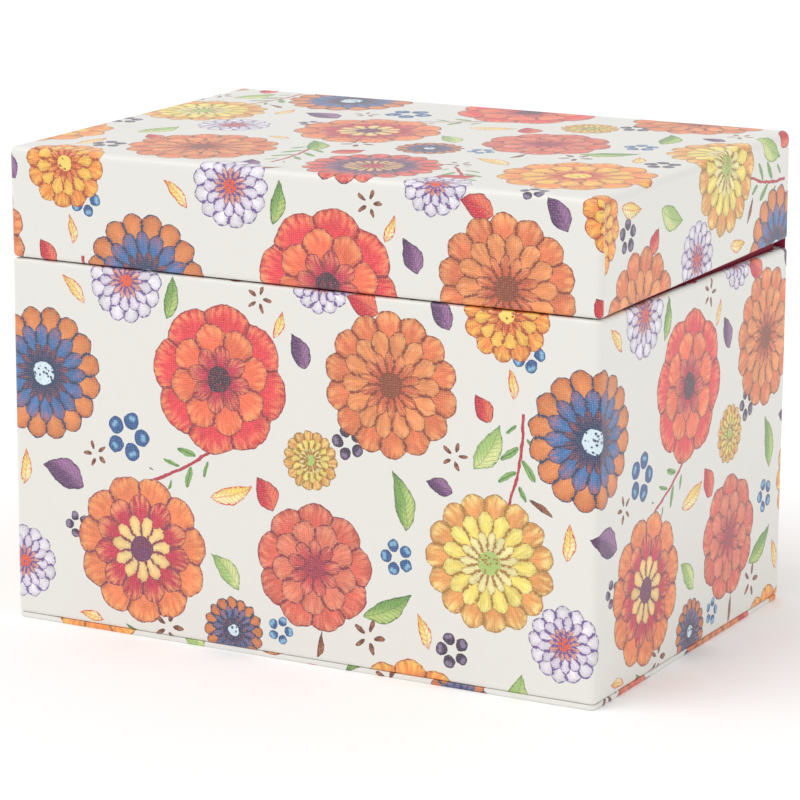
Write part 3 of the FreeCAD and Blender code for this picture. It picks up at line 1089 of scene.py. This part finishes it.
def makeCollarCover(settings):
    low, high = collarLow.z, collarHigh.z
    top, wall = settings["top"], settings["wall"]
    outside = arc(top, high - top, top, 180, 90)
    inside = arc(wall - top, high - top, top, 90, 0)
    start = (0.0, high - settings["outside"])
    end = (wall, low)
    profile = [start, *straight(start, outside[0]), *outside, *inside, *straight(inside[-1], end), end]
    profile = thicken(profile, coverSettings["paper"])
    size = (collarHigh.x, collarHigh.y, settings["corner"])
    piece = loft("collarCover", size, profile, mapBand, [liningPaper, paperEdge])
    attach(piece, "base")
    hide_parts("collar_wrap")


makeCollarCover(collarSettings)
print("collar covered")


# hinge papers: a printed strip outside and a lining strip inside, bent across the gap where the closed
# lid leans

hingeSettings = {
    "paper": 0.15 * mm,
    "fine": 0.25 * mm,       # spacing of the rows that bend
    "finePast": 1.5 * mm,    # how far past the gap they go
    "coarseRows": 8,         # above the rows that bend, and below them
    "outerBend": 0.6 * mm,   # the outer strip is free this far past each rim
    "innerBend": 2.0 * mm,
    "shift": (90.0, 84.0),
}


def hingeHeights(low, high, seam, lifted):
    # heights of a strip's rows, close together across the gap between tray and lid
    fineLow, fineHigh = seam - hingeSettings["finePast"], lifted + hingeSettings["finePast"]
    coarseRows = hingeSettings["coarseRows"]
    fineRows = round((fineHigh - fineLow) / hingeSettings["fine"])
    below = [low + (fineLow - low) * number / coarseRows for number in range(coarseRows)]
    middle = [fineLow + (fineHigh - fineLow) * number / fineRows for number in range(fineRows)]
    above = [fineHigh + (high - fineHigh) * number / coarseRows for number in range(coarseRows + 1)]
    return below + middle + above


def makeHingePaper(name, node, material, outward):
    # outward is 1 where the strip's shown face looks to the rear, and -1 where it looks inside
    low, high = readBox(node)
    lean = lidLean()
    seam, lifted = trayHigh.z, hingeSpot.z * 2 - trayHigh.z
    heights = hingeHeights(low.z, high.z, seam, lifted)
    # the inner strip's box reaches as far forward as its upper end, which leans with the lid
    face = high.y if outward > 0 else low.y + (high.z - lifted) * math.sin(lean)
    columns = round((high.x - low.x) / coverSettings["span"])
    places = [low.x + (high.x - low.x) * column / columns for column in range(columns + 1)]
    shift = Vector(hingeSettings["shift"]) * mm
    bm = bmesh.new()
    sheet = bm.loops.layers.uv.new("sheet")
    grids = []
    for depth in (0.0, hingeSettings["paper"]):
        grid = []
        for height in heights:
            y = face - outward * depth - max(0.0, height - lifted) * math.tan(lean)
            grid.append([bm.verts.new((x, y, height)) for x in places])
        grids.append(grid)

    def addFace(edge, opposite, finish):
        # a face between two edges that run the same way
        made = bm.faces.new([*edge, *reversed(opposite)])
        made.material_index = finish
        for loop in made.loops:
            loop[sheet].uv = (loop.vert.co.x + shift.x, loop.vert.co.z + shift.y)

    for row in range(len(heights) - 1):
        for grid, finish in zip(grids, (shownFace, pastedFace)):
            for column in range(columns):
                addFace(grid[row][column:column + 2], grid[row + 1][column:column + 2], finish)
        for column in (0, columns):
            shown, hidden = ([grid[row][column], grid[row + 1][column]] for grid in grids)
            addFace(shown, hidden, cutEdge)
    for row in (0, len(heights) - 1):
        for column in range(columns):
            shown, hidden = (grid[row][column:column + 2] for grid in grids)
            addFace(shown, hidden, cutEdge)
    piece = finishMesh(name, bm, [material, paperEdge, pastedBack])
    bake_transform(piece)
    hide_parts(node)


makeHingePaper("hingeCover", "outer_hinge_paper", printedPaper, 1)
makeHingePaper("hingeLining", "inner_hinge_paper", liningPaper, -1)
print("hinge papers made")


# the boards, stays and linings keep their own shapes

for name in frame["nodes"]:
    finish = greyboard
    if name.endswith("stays"):
        finish = stayTape
    elif name.endswith("lining"):
        finish = liningPaper
    for slot in bpy.data.objects[name].material_slots:
        slot.material = finish
print("boards finished")


# floor and light

floorSettings = {
    "size": 60.0,            # metres, so that no edge is seen from low down
    "colour": "#FFFFFF",
    "shade": "#FDFDFD",
    "cloud": (1.5, 1.0),
    "rough": 0.9,
    "specular": 0.1,
}
lightSettings = {            # a lamp shines from its spot to the box; its spread is in degrees
    "sky": "#FFFFFF",
    "skyPower": 0.81,
    "key": {"spot": (-0.9, -1.3, 2.6), "spread": 40.0, "power": 0.89},
    "fill": {"spot": (1.9, -0.4, 1.0), "spread": 60.0, "power": 0.14},
}


def makeFloor(settings):
    half = settings["size"] / 2
    corners = [(-half, -half, 0), (half, -half, 0), (half, half, 0), (-half, half, 0)]
    mesh = bpy.data.meshes.new("floor")
    mesh.from_pydata(corners, [], [(0, 1, 2, 3)])
    floor = bpy.data.objects.new("floor", mesh)
    scene.collection.objects.link(floor)
    material, shader, start = startMaterial("floorPaper", settings)
    soft = cloud(start.add("TexCoord", output="Object"), *settings["cloud"])
    plug(mixColour(soft, tint(settings["colour"]), tint(settings["shade"])), shader, "Base Color")
    mesh.materials.append(material)


def makeLamp(name, settings):
    data = bpy.data.lights.new(name, "SUN")
    data.angle = math.radians(settings["spread"])
    data.energy = settings["power"]
    lamp = bpy.data.objects.new(name, data)
    lamp.location = settings["spot"]
    target = Vector((0, 0, lidHigh.z / 2))
    lamp.rotation_euler = (target - lamp.location).to_track_quat("-Z", "Y").to_euler()
    scene.collection.objects.link(lamp)


def makeSky(settings):
    world = bpy.data.worlds.new("sky")
    world.use_nodes = True
    background = world.node_tree.nodes["Background"]
    background.inputs["Color"].default_value = tint(settings["sky"])
    background.inputs["Strength"].default_value = settings["skyPower"]
    scene.world = world


makeFloor(floorSettings)
makeSky(lightSettings)
makeLamp("keyLamp", lightSettings["key"])
makeLamp("fillLamp", lightSettings["fill"])
scene.view_settings.view_transform = "Standard"
print("lights set")
